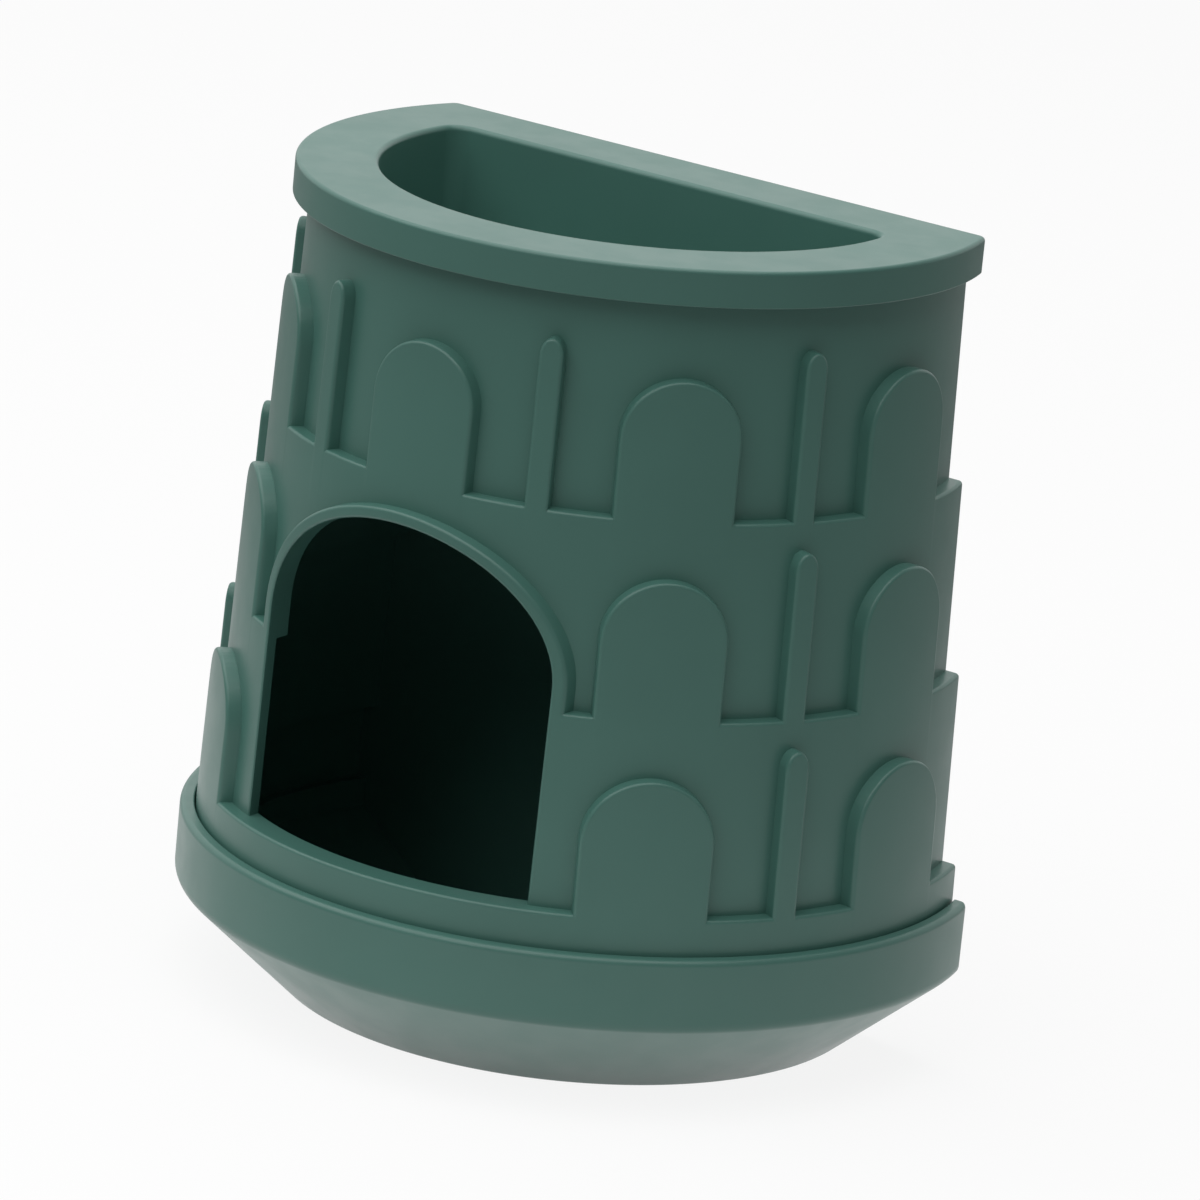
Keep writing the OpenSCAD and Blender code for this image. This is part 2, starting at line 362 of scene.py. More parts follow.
class NodeBoard:
    """Shorthand for wiring the nodes of a material or of the world."""

    def __init__(self, owner: Material | World) -> None:
        """Clears the owner's board.

        Args:
            owner: the material or world to wire.
        """
        owner.use_nodes = True
        self.tree = owner.node_tree
        self.tree.nodes.clear()

    def add(self, kind: str, **settings: object) -> Node:
        """Adds a node.

        Args:
            kind: the node's type.
            settings: attributes of the node, by name.

        Returns:
            The node.
        """
        node = self.tree.nodes.new(kind)
        for key, value in settings.items():
            setattr(node, key, value)
        return node

    def wire(self, output: NodeSocket, target: NodeSocket) -> None:
        """Links an output to an input."""
        self.tree.links.new(output, target)

    def surface(self) -> Node:
        """Adds the surface of a material.

        Returns:
            The shader, joined to the material's output.
        """
        shader = self.add("ShaderNodeBsdfPrincipled")
        output = self.add("ShaderNodeOutputMaterial")
        self.wire(shader.outputs["BSDF"], output.inputs["Surface"])
        return shader

    def noise(self, scale: float, detail: float) -> NodeSocket:
        """Adds noise on the piece's own coordinates.

        Args:
            scale: waves per metre.
            detail: octaves of finer waves.

        Returns:
            The noise, from 0 to 1.
        """
        place = self.add("ShaderNodeTexCoord")
        node = self.add("ShaderNodeTexNoise")
        node.inputs["Scale"].default_value = scale
        node.inputs["Detail"].default_value = detail
        self.wire(place.outputs["Object"], node.inputs["Vector"])
        return node.outputs["Fac"]

    def ranged(self, value: NodeSocket, low: float, high: float,
               span: tuple[float, float] = NOISE_SPAN) -> NodeSocket:
        """Maps a value to a range.

        Args:
            value: the output to map, a noise if no span is given.
            low: the result at the span's start.
            high: the result at the span's end.
            span: the values between which the result changes.

        Returns:
            The mapped output.
        """
        node = self.add("ShaderNodeMapRange", interpolation_type="SMOOTHSTEP")
        node.inputs["From Min"].default_value = span[0]
        node.inputs["From Max"].default_value = span[1]
        node.inputs["To Min"].default_value = low
        node.inputs["To Max"].default_value = high
        self.wire(value, node.inputs["Value"])
        return node.outputs["Result"]

    def blended(self, share: NodeSocket, first: Colour, second: Colour) -> NodeSocket:
        """Blends two colours.

        Args:
            share: the output that is 0 for the first colour and 1 for the second.
            first: the first colour.
            second: the second colour.

        Returns:
            The blended colour.
        """
        node = self.add("ShaderNodeMix", data_type="RGBA")
        self.wire(share, node.inputs[MIX_FACTOR])
        for number, colour in zip(MIX_COLOURS, (first, second)):
            node.inputs[number].default_value = (*colour, 1.0)
        return node.outputs[MIX_COLOUR]

    def bumped(self, height: NodeSocket, depth: float, strength: float) -> NodeSocket:
        """Makes a surface uneven.

        Args:
            height: the output that says how high the surface is.
            depth: the greatest height, in metres.
            strength: the share of it that shows.

        Returns:
            The uneven surface's normal.
        """
        node = self.add("ShaderNodeBump")
        node.inputs["Strength"].default_value = strength
        node.inputs["Distance"].default_value = depth
        self.wire(height, node.inputs["Height"])
        return node.outputs["Normal"]

    def either(self, chosen: NodeSocket, value: NodeSocket) -> NodeSocket:
        """Gives a value to one kind of ray and 1 to all others.

        Args:
            chosen: the output that is 1 for this kind of ray.
            value: what this kind of ray gets.

        Returns:
            The chosen output.
        """
        node = self.add("ShaderNodeMix", data_type="FLOAT")
        others, this = MIX_NUMBERS
        self.wire(chosen, node.inputs[MIX_FACTOR])
        node.inputs[others].default_value = 1.0
        self.wire(value, node.inputs[this])
        return node.outputs[MIX_NUMBER]

    def split(self, kind: str, lights: NodeSocket, shows: NodeSocket, share: float) -> None:
        """Outputs one shader that lights the object and another that is seen, also in reflections.

        Args:
            kind: the type of the output node.
            lights: the shader that lights the object.
            shows: the shader that glossy and transmitted rays see.
            share: how much of it the camera's own rays see.
        """
        path = self.add("ShaderNodeLightPath")
        camera = self.add("ShaderNodeMath", operation="MULTIPLY")
        self.wire(path.outputs["Is Camera Ray"], camera.inputs[0])
        camera.inputs[1].default_value = share
        seen = camera.outputs[0]
        for ray in ("Is Glossy Ray", "Is Transmission Ray"):
            most = self.add("ShaderNodeMath", operation="MAXIMUM")
            self.wire(seen, most.inputs[0])
            self.wire(path.outputs[ray], most.inputs[1])
            seen = most.outputs[0]
        mix = self.add("ShaderNodeMixShader")
        for source, target in zip((seen, lights, shows), mix.inputs):
            self.wire(source, target)
        output = self.add(kind)
        self.wire(mix.outputs["Shader"], output.inputs["Surface"])


@dataclass(frozen=True)
class MouldedPlastic:
    """Satin moulded plastic: a faint mottle of the colour, uneven gloss and a fine etched grain."""

    name: str
    colour: Colour = (0.073, 0.191, 0.158)
    mottle: float = 0.025
    mottle_scale: float = 45.0
    mottle_detail: float = 3.0
    gloss_scale: float = 160.0
    gloss_detail: float = 4.0
    smoothest: float = 0.33
    roughest: float = 0.38
    grain_scale: float = 2600.0
    grain_detail: float = 2.0
    grain_depth: float = 0.00002
    grain_strength: float = 0.12

    def shade(self, factor: float) -> Colour:
        """The colour, lighter or darker by a factor."""
        red, green, blue = self.colour
        return red * factor, green * factor, blue * factor

    def material(self) -> Material:
        """Wires the finish.

        Returns:
            The material.
        """
        material = bpy.data.materials.new(self.name)
        board = NodeBoard(material)
        surface = board.surface()
        flow = board.ranged(board.noise(self.mottle_scale, self.mottle_detail), 0.0, 1.0)
        colour = board.blended(flow, self.shade(1 - self.mottle), self.shade(1 + self.mottle))
        board.wire(colour, surface.inputs["Base Color"])
        gloss = board.noise(self.gloss_scale, self.gloss_detail)
        board.wire(board.ranged(gloss, self.smoothest, self.roughest), surface.inputs["Roughness"])
        grain = board.noise(self.grain_scale, self.grain_detail)
        board.wire(board.bumped(grain, self.grain_depth, self.grain_strength), surface.inputs["Normal"])
        return material


@dataclass(frozen=True)
class ClearVinyl:
    """Soft clear vinyl with a cloudy tint and a slightly uneven skin."""

    name: str
    clear: Colour = (0.90, 0.95, 0.93)
    cloudy: Colour = (0.80, 0.88, 0.86)
    see_through: float = 0.75
    refraction: float = 1.52
    cloud_scale: float = 120.0
    cloud_detail: float = 2.0
    smoothest: float = 0.16
    roughest: float = 0.28
    skin_scale: float = 900.0
    skin_detail: float = 2.0
    skin_depth: float = 0.00003
    skin_strength: float = 0.2

    def material(self) -> Material:
        """Wires the finish.

        Returns:
            The material.
        """
        material = bpy.data.materials.new(self.name)
        board = NodeBoard(material)
        surface = board.surface()
        surface.inputs["Transmission Weight"].default_value = self.see_through
        surface.inputs["IOR"].default_value = self.refraction
        cloud = board.noise(self.cloud_scale, self.cloud_detail)
        board.wire(board.blended(cloud, self.clear, self.cloudy), surface.inputs["Base Color"])
        board.wire(board.ranged(cloud, self.smoothest, self.roughest), surface.inputs["Roughness"])
        skin = board.noise(self.skin_scale, self.skin_detail)
        board.wire(board.bumped(skin, self.skin_depth, self.skin_strength), surface.inputs["Normal"])
        return material


@dataclass(frozen=True)
class Place:
    """Where a piece belongs: its name, the body it rides on, its slot and the node it stands for."""

    name: str
    body: Body
    slot: Slot
    node: str

    def box(self) -> tuple[Vector, Vector]:
        """Lowest and highest corner of the node, in mm."""
        low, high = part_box(self.node)
        return low / MM, high / MM


@dataclass(frozen=True)
class Wall:
    """The tower's drafted wall with its three lapped tiers, in mm."""

    top_r: float = 48.2
    top_z: float = 123.0
    draft_deg: float = 1.4
    relief: float = 2.2
    thick: float = 2.0
    sill_z: float = 29.8
    frieze_h: float = 8.0
    tiers: int = 3
    back_y: float = 17.7

    def ledge_z(self, tier: int) -> float:
        """Height of the ledge at the foot of a tier."""
        return self.sill_z + (tier - 1) * (self.top_z - self.sill_z - self.frieze_h) / self.tiers

    def panel_r(self, z: float) -> float:
        """Radius of the innermost panels, those of the top tier, at a height."""
        return self.top_r + math.tan(math.radians(self.draft_deg)) * (self.top_z - z)

    def step(self, tier: int) -> float:
        """How far a tier's panels stand out from the innermost ones."""
        return (self.tiers - tier) * self.relief

    def face_r(self, tier: int, z: float) -> float:
        """Radius of a tier's panels at a height; tier 0 is the plain band below the sill."""
        return self.panel_r(z) + self.step(tier)

    def inner_line(self, low: float, high: float) -> list[Vector]:
        """Draws the stepped inside of the wall.

        Args:
            low: height where the line starts.
            high: height where it ends.

        Returns:
            Points from low to high.
        """
        points = []
        for tier in range(self.tiers + 1):
            foot = self.ledge_z(tier) - self.thick if tier else low
            head = self.ledge_z(tier + 1) - self.thick if tier < self.tiers else high
            points += [Vector((self.face_r(tier, z) - self.thick, z)) for z in (foot, head)]
        return points


@dataclass
class Piece(ABC):
    """A piece of the hideout: where it belongs, the wall that it fits and how it is made."""

    place: Place
    wall: Wall
    foot_z: float = field(init=False)
    top_z: float = field(init=False)
    outer_r: float = field(init=False)

    def __post_init__(self) -> None:
        """Takes the piece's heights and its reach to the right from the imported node."""
        low, high = self.place.box()
        self.foot_z, self.top_z, self.outer_r = low.z, high.z, high.x

    @abstractmethod
    def build(self) -> BMesh:
        """Models the piece as a closed solid, in mm."""

    def dress(self, material: Material) -> None:
        """Makes the finished object of the piece and sets it on its body.

        Args:
            material: the piece's finish.
        """
        bm = self.build()
        bmesh.ops.scale(bm, vec=(MM, MM, MM), verts=bm.verts)
        obj = set_out(self.place.name, bm)
        mesh = obj.data
        mesh.shade_smooth()
        mesh.set_sharp_from_angle(angle=CRISP)
        mesh.materials.append(material)
        even = obj.modifiers.new("even_shading", "WEIGHTED_NORMAL")
        even.keep_sharp = True
        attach(obj, self.place.body.value)
        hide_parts(self.place.node)
        log.info("%s: %d faces", self.place.name, len(mesh.polygons))


@dataclass(frozen=True)
class RoundHead:
    """Upright outline with a round or oval head: an arch, a pilaster, the doorway or its band."""

    centre: float
    half_w: float
    foot_z: float
    spring_z: float
    rise: float
    head_steps: int

    def points(self) -> list[tuple[float, float]]:
        """Draws the outline.

        Returns:
            Distance from the middle and height, from the left foot over the head to the right foot.
        """
        feet = [(-self.half_w, self.foot_z), (self.half_w, self.foot_z)]
        if self.rise == 0:
            return feet
        angles = [math.pi * step / self.head_steps for step in range(self.head_steps + 1)]
        head = [(-self.half_w * math.cos(a), self.spring_z + self.rise * math.sin(a)) for a in angles]
        return [feet[0], *head, feet[1]]


@dataclass(frozen=True)
class Motif:
    """An ornament that repeats along a tier: half angle, height in mm and how oval its head is."""

    half_deg: float
    height: float
    oval: float
    head_steps: int

    def outline(self, centre: float, foot: float, radius: float) -> RoundHead:
        """Outlines the ornament at one place.

        Args:
            centre: the angle of its middle.
            foot: the height that it stands at.
            radius: the radius of the wall that its face is flush with.

        Returns:
            The outline.
        """
        half_w = radius * math.sin(math.radians(self.half_deg))
        rise = half_w * self.oval
        return RoundHead(centre, half_w, foot, foot + self.height - rise, rise, self.head_steps)


@dataclass
class TowerShell(Piece):
    """The hollow tower: lapped tiers of arches and pilasters, the doorway and the keyholes.

    Its round front is laid out flat first. There X is the angle times flat_r, Y the height and Z the
    distance out from the innermost panels. Tiers are raised and edges rounded on the flat sheet, which
    is then wrapped round the axis.
    """

    arches: int = 5
    arch: Motif = Motif(half_deg=9.75, height=20.2, oval=1.0, head_steps=32)
    pilaster: Motif = Motif(half_deg=1.95, height=24.4, oval=1.5, head_steps=14)
    door_half_w: float = 25.0
    door_h: float = 50.8
    door_rise: float = 19.3
    band_w: float = 1.85
    band_tier: int = 2
    edge_round: float = 0.5
    flat_r: float = 52.0
    flat_half_deg: float = 115.0
    door_depth: float = 6.0
    door_steps: int = 48
    slot_r: float = 2.7
    slot_steps: int = 20
    eye_r: float = 4.5
    eye_steps: int = 40
    eye_drop: float = 8.6
    neck_xs: tuple[float, float] = (-26.0, 26.0)
    neck_zs: tuple[float, float] = (64.8, 100.8)
    tier_of: BMLayerItem = field(init=False)
    drawn: BMLayerItem = field(init=False)
    centre_of: BMLayerItem = field(init=False)
    across_of: BMLayerItem = field(init=False)

    def build(self) -> BMesh:
        """Models the whole shell.

        Returns:
            The closed solid.
        """
        bm = self.flat_sheet()
        self.raise_tiers(bm)
        self.open_doorway(bm)
        self.straighten(bm)
        self.round_edges(bm)
        self.wrap(bm)
        self.close(bm)
        bm = combined(bm, self.cavity(), Join.CUT)
        for x in self.neck_xs:
            for z in self.neck_zs:
                bm = combined(bm, self.keyhole(x, z), Join.CUT)
        return bm

    def ornaments(self, tier: int) -> list[RoundHead]:
        """Lists what stands on a tier's ledge.

        Args:
            tier: the tier, from 1 at the sill.

        Returns:
            The outlines from left to right.
        """
        wall = self.wall
        foot = wall.ledge_z(tier)
        carrier_r = wall.face_r(tier - 1, foot)
        band_r = wall.face_r(self.band_tier, wall.ledge_z(self.band_tier))
        corner = math.pi / 2 + math.asin(wall.back_y / band_r)
        pitch = 2 * corner / self.arches
        band_half = math.asin((self.door_half_w + self.band_w) / wall.face_r(1, wall.sill_z))
        clear = band_half if tier < wall.tiers else 0.0
        middles = [(index - (self.arches - 1) / 2) * pitch for index in range(self.arches)]
        gaps = [(index - self.arches / 2) * pitch for index in range(1, self.arches)]
        found = [motif.outline(centre, foot, carrier_r)
                 for motif, centres in ((self.arch, middles), (self.pilaster, gaps))
                 for centre in centres if abs(centre) >= clear]
        if tier == 1:
            # The doorway's foot, an outline with no height, marks its two corners
            found.append(RoundHead(0.0, self.door_half_w, foot, foot, 0.0, 0))
        if tier == self.band_tier:
            found.append(self.doorway(foot, self.band_w))
        return sorted(found, key=lambda piece: piece.centre)

    def doorway(self, foot: float, grow: float = 0.0) -> RoundHead:
        """Outlines the doorway, or the band around it.

        Args:
            foot: the height that the outline starts from.
            grow: how much wider than the doorway it is.

        Returns:
            The outline.
        """
        spring = self.wall.sill_z + self.door_h - self.door_rise
        return RoundHead(0.0, self.door_half_w + grow, foot, spring, self.door_rise + grow, self.door_steps)

    def flat_sheet(self) -> BMesh:
        """Lays the front out flat, one face to a tier, divided along the skylines of the ornament.

        Returns:
            The sheet.
        """
        bm = bmesh.new()
        self.tier_of = bm.faces.layers.int.new("tier")
        self.drawn = bm.verts.layers.int.new("drawn")
        self.centre_of = bm.verts.layers.float.new("centre")
        self.across_of = bm.verts.layers.float.new("across")
        half = math.radians(self.flat_half_deg) * self.flat_r
        edge = bm.edges.new([bm.verts.new((x, self.foot_z, 0)) for x in (half, -half)])
        wall = self.wall
        heights = [wall.ledge_z(tier) for tier in range(1, wall.tiers + 1)] + [self.top_z]
        rows = []
        for tier, z in enumerate(heights):
            made = bmesh.ops.extrude_edge_only(bm, edges=[edge])["geom"]
            new = only(made, BMVert)
            bmesh.ops.translate(bm, vec=(0, z - new[0].co.y, 0), verts=new)
            only(made, BMFace)[0][self.tier_of] = tier
            edge = bm.edges.get(new)
            rows.append(edge)
        bmesh.ops.recalc_face_normals(bm, faces=bm.faces)
        bm.normal_update()
        if next(iter(bm.faces)).normal.z < 0:
            bmesh.ops.reverse_faces(bm, faces=bm.faces)
        for tier, row in enumerate(rows[:-1], start=1):
            self.draw_skyline(bm, row, self.ornaments(tier))
        return bm

    def draw_skyline(self, bm: BMesh, row: BMEdge, pieces: Sequence[RoundHead]) -> None:
        """Draws a ledge's skyline over the ornament that stands on it.

        Args:
            bm: the flat sheet.
            row: the ledge's straight edge.
            pieces: the ornament from left to right.
        """
        drawn = [(piece.centre, across, z) for piece in pieces for across, z in piece.points()]
        ends = set(row.verts)
        made = bmesh.ops.bisect_edges(bm, edges=[row], cuts=len(drawn))["geom_split"]
        verts = sorted((v for v in only(made, BMVert) if v not in ends), key=lambda v: v.co.x)
        for vert, (centre, across, z) in zip(verts, drawn):
            self.mark(vert, centre, across)
            vert.co.y = z
            self.settle(vert)

    def mark(self, vert: BMVert, centre: float, across: float) -> None:
        """Notes where a point of an outline lies from the outline's middle.

        Args:
            vert: the point.
            centre: the angle of the outline's middle.
            across: the point's distance from that middle.
        """
        vert[self.drawn] = 1
        vert[self.centre_of] = centre
        vert[self.across_of] = across

    def settle(self, vert: BMVert) -> None:
        """Moves a point of an outline along the sheet, so that the outline's sides stay parallel."""
        radius = self.wall.panel_r(vert.co.y) + vert.co.z
        vert.co.x = (vert[self.centre_of] + math.asin(vert[self.across_of] / radius)) * self.flat_r

    def raise_tiers(self, bm: BMesh) -> None:
        """Raises the lower tiers step by step, so that each ornament ends flush with the tier below.

        The upright faces that this makes are marked, so that they aren't raised again.

        Args:
            bm: the flat sheet.
        """
        for tier in range(self.wall.tiers, 0, -1):
            below = [f for f in bm.faces if f[self.tier_of] < tier]
            pushed(bm, below, Vector((0, 0, self.wall.relief)))
            bm.normal_update()
            for face in bm.faces:
                if abs(face.normal.z) < LEAST_RISE:
                    face[self.tier_of] = UPRIGHT

    def open_doorway(self, bm: BMesh) -> None:
        """Sinks the doorway through the wall, deep enough to meet the hollow behind it.

        Args:
            bm: the raised sheet, with the doorway's two feet on the sill's ledge.
        """
        sill_z = self.wall.sill_z
        feet = [v for v in bm.verts if v[self.drawn] and v[self.centre_of] == 0
                and v.co.y < sill_z + WELD and v.co.z < self.wall.step(1) + WELD]
        feet.sort(key=lambda v: v.co.x)
        panel = next(f for f in bm.faces if f[self.tier_of] == 1)
        outline = self.doorway(sill_z).points()[1:-1]
        line = [Vector((x, z, self.wall.step(1))) for x, z in outline]
        bmesh.utils.face_split(panel, feet[0], feet[1], coords=line)
        door = min((f for f in bm.faces if f[self.tier_of] == 1), key=lambda f: len(f.verts))
        for vert in door.verts:
            if vert not in feet:
                self.mark(vert, 0.0, vert.co.x)
        pushed(bm, [door], Vector((0, 0, -self.door_depth)))

    def straighten(self, bm: BMesh) -> None:
        """Sets the sides of every outline parallel and clears the walls along the sheet's border.

        Args:
            bm: the raised sheet.
        """
        for vert in bm.verts:
            if vert[self.drawn]:
                self.settle(vert)
        half = math.radians(self.flat_half_deg) * self.flat_r
        border = []
        for face in bm.faces:
            middle = face.calc_center_median()
            inside = self.foot_z + WELD < middle.y < self.top_z - WELD and abs(middle.x) < half - WELD
            if not inside:
                border.append(face)
        bmesh.ops.delete(bm, geom=border, context="FACES")

    def round_edges(self, bm: BMesh) -> None:
        """Rounds the outer edges of ledges, ornament and doorway.

        Args:
            bm: the raised sheet.
        """
        bm.normal_update()
        crisp = [edge for edge in bm.edges
                 if edge.is_manifold and edge.is_convex and edge.calc_face_angle() > SQUARE]
        soften(bm, crisp, self.edge_round)

    def wrap(self, bm: BMesh) -> None:
        """Cuts the sheet into narrow strips and bends it round the axis.

        Args:
            bm: the raised sheet.
        """
        strips = round(self.flat_half_deg / WALL_STEP)
        for strip in range(1 - strips, strips):
            x = math.radians(strip * WALL_STEP) * self.flat_r
            everything = [*bm.verts, *bm.edges, *bm.faces]
            bmesh.ops.bisect_plane(bm, geom=everything, dist=WELD, plane_co=(x, 0, 0), plane_no=(1, 0, 0))
        for vert in bm.verts:
            angle = vert.co.x / self.flat_r
            z = vert.co.y
            radius = self.wall.panel_r(z) + vert.co.z
            vert.co = (radius * math.sin(angle), -radius * math.cos(angle), z)

    def close(self, bm: BMesh) -> None:
        """Trims the wrapped sheet at the flat back and closes the back, the foot and the top.

        Args:
            bm: the wrapped sheet.
        """
        everything = [*bm.verts, *bm.edges, *bm.faces]
        bmesh.ops.bisect_plane(bm, geom=everything, dist=WELD, plane_co=(0, self.wall.back_y, 0),
                               plane_no=(0, 1, 0), clear_outer=True)
        bmesh.ops.remove_doubles(bm, verts=bm.verts, dist=WELD)
        rim = [e for e in bm.edges if e.is_boundary]
        back = [e for e in rim if all(abs(v.co.y - self.wall.back_y) < WELD for v in e.verts)]
        for z in (self.foot_z, self.top_z):
            level = [e for e in rim if all(abs(v.co.z - z) < WELD for v in e.verts)]
            ends = [v for e in level for v in e.verts if abs(v.co.y - self.wall.back_y) < WELD]
            chord = bm.edges.new(ends)
            bmesh.ops.contextual_create(bm, geom=[*level, chord])
            back.append(chord)
        bmesh.ops.contextual_create(bm, geom=back)
        bmesh.ops.recalc_face_normals(bm, faces=bm.faces)

    def cavity(self) -> BMesh:
        """The hollow inside the wall.

        Returns:
            The solid to cut away.
        """
        low = self.foot_z - OVER
        high = self.top_z + OVER
        bm = spun([Vector((0, low)), *self.wall.inner_line(low, high), Vector((0, high))])
        keep_front(bm, self.wall.back_y - self.wall.thick)
        return bm

    def keyhole(self, x: float, z: float) -> BMesh:
        """A keyhole through the flat back, with its wide end at the bottom.

        Args:
            x: place of the suction cup's neck across the back.
            z: height of the neck.

        Returns:
            The solid to cut away.
        """
        opening = math.asin(self.slot_r / self.eye_r)
        start = math.pi / 2 + opening
        turn = math.tau - 2 * opening
        outline = arc((x, z - self.eye_drop), self.eye_r, start, turn, self.eye_steps)
        outline += arc((x, z), self.slot_r, 0, math.pi, self.slot_steps)
        ends = (self.wall.back_y - 2 * self.wall.thick, self.wall.back_y + OVER)
        return lofted([[Vector((p.x, y, p.y)) for p in outline] for y in ends])


@dataclass
class FeedingCup(Piece):
    """The lift-out feeding cup: a half-round hollow with a wide flange and a rim that laps the tower."""

    flange_t: float = 2.4
    flange_w: float = 12.1
    rim_h: float = 5.35
    rim_round: float = 0.6
    rim_under_round: float = 0.2
    rim_corner: float = 1.5
    rim_fit: float = 0.35
    draft_deg: float = 2.5
    floor_round: float = 4.0
    mouth_round: float = 0.8
    corner_round: float = 3.0
    corner_least: float = 0.6
    floor_steps: int = 9
    edge_steps: int = 6

    def build(self) -> BMesh:
        """Models the cup.

        Returns:
            The closed solid.
        """
        bm = combined(self.flange(), lofted(self.bowl(self.wall.thick)), Join.ADD)
        return combined(bm, self.hollow(), Join.CUT)

    def flange(self) -> BMesh:
        """The flange with its rim, whose edges and back corners are soft.

        Returns:
            The closed solid, open below where it laps the tower.
        """
        rim_low = self.top_z - self.rim_h
        below, above = self.rim_under_round, self.rim_round
        turn = quarter(self.edge_steps)
        levels = [(rim_low + below * (1 - cosine), below * (1 - sine)) for sine, cosine in turn]
        levels += [(self.top_z - above * (1 - sine), above * (1 - cosine)) for sine, cosine in turn]
        outside = lofted([self.rim_plan(inset).ring(z) for z, inset in levels])
        lap_r = self.wall.face_r(self.wall.tiers, rim_low) + self.rim_fit
        low = rim_low - OVER
        under = self.top_z - self.flange_t
        room = spun([Vector((0, low)), Vector((lap_r, low)), Vector((lap_r, under)), Vector((0, under))])
        bm = combined(outside, room, Join.CUT)
        soften_seam(bm, self.wall.back_y, under)
        return bm

    def rim_plan(self, inset: float) -> HalfRound:
        """The plan of the rim, smaller by an inset."""
        return HalfRound(self.outer_r - inset, self.wall.back_y - inset, self.rim_corner - inset)

    def plan(self, grow: float) -> HalfRound:
        """The plan of the mouth, larger or smaller by a margin."""
        return HalfRound(self.outer_r - self.flange_w + grow, self.wall.back_y - self.flange_w + grow,
                         max(self.corner_round + grow, self.corner_least))

    def bowl(self, grow: float) -> list[list[Vector]]:
        """Rings up the pot, from its floor to where the rounding of its mouth starts.

        Args:
            grow: how far they lie outside the hollow.

        Returns:
            The rings from the lowest to the highest.
        """
        high = self.top_z - self.mouth_round
        low = self.foot_z + self.wall.thick - grow
        rounding = self.floor_round + grow
        slope = math.tan(math.radians(self.draft_deg))
        rings = []
        for sine, cosine in quarter(self.floor_steps):
            z = low + rounding * (1 - cosine)
            rings.append(self.plan(grow + rounding * (sine - 1) - (high - z) * slope).ring(z))
        return [*rings, self.plan(grow).ring(high)]

    def hollow(self) -> BMesh:
        """The hollow of the pot with its rounded mouth.

        Returns:
            The solid to cut away.
        """
        rings = self.bowl(0)
        for sine, cosine in quarter(self.edge_steps)[1:]:
            z = self.top_z - self.mouth_round * (1 - sine)
            rings.append(self.plan(self.mouth_round * (1 - cosine)).ring(z))
        return lofted([*rings, self.plan(self.mouth_round).ring(self.top_z + OVER)])


@dataclass
class BaseTray(Piece):
    """The tray that the tower stands in: a tapered underside, a seat and an upstanding lip."""

    lip_gap: float = 0.2
    lip_round: float = 0.9
    lip_inner_round: float = 0.3
    lip_corner: float = 1.2
    seat_z: float = 16.0
    seat_w: float = 3.9
    turn_z: float = 14.2
    turn_round: float = 2.2
    foot_in: float = 16.3
    foot_round: float = 1.5

    def build(self) -> BMesh:
        """Models the tray.

        Returns:
            The closed solid.
        """
        bm = combined(self.outside(), self.hollow(), Join.CUT)
        soften_seam(bm, self.wall.back_y, self.seat_z)
        return bm

    def inner_r(self, z: float) -> float:
        """Radius of the lip's inside at a height."""
        return self.wall.face_r(0, z) + self.lip_gap

    def outside(self) -> BMesh:
        """The tray with its lip and seat, not yet hollow.

        Returns:
            The closed solid.
        """
        outline = rounded([
            Corner(0, 0),
            Corner(self.outer_r - self.foot_in, 0, self.foot_round),
            Corner(self.outer_r, self.turn_z, self.turn_round),
            Corner(self.outer_r, self.top_z, self.lip_round),
            Corner(self.inner_r(self.top_z), self.top_z, self.lip_inner_round),
            Corner(self.inner_r(self.seat_z), self.seat_z),
            Corner(0, self.seat_z),
        ])
        plan = HalfRound(self.outer_r + MARGIN, self.wall.back_y, self.lip_corner)
        prism = lofted([plan.ring(z) for z in (-OVER, self.top_z + OVER)])
        return combined(spun(outline), prism, Join.COMMON)

    def hollow(self) -> BMesh:
        """The hollow below the seat, which leaves an even wall.

        Returns:
            The solid to cut away.
        """
        thick = self.wall.thick
        foot_r = self.outer_r - self.foot_in
        taper = self.foot_in / self.turn_z
        skin = thick * math.hypot(1, taper)
        floor_r = foot_r + taper * thick - skin
        rest_r = self.inner_r(self.seat_z) - self.seat_w
        drop_z = (rest_r - foot_r + skin) / taper
        high = self.seat_z + OVER
        corners = [(0, thick), (floor_r, thick), (rest_r, drop_z), (rest_r, high), (0, high)]
        bm = spun([Vector(corner) for corner in corners])
        keep_front(bm, self.wall.back_y - thick)
        return bm


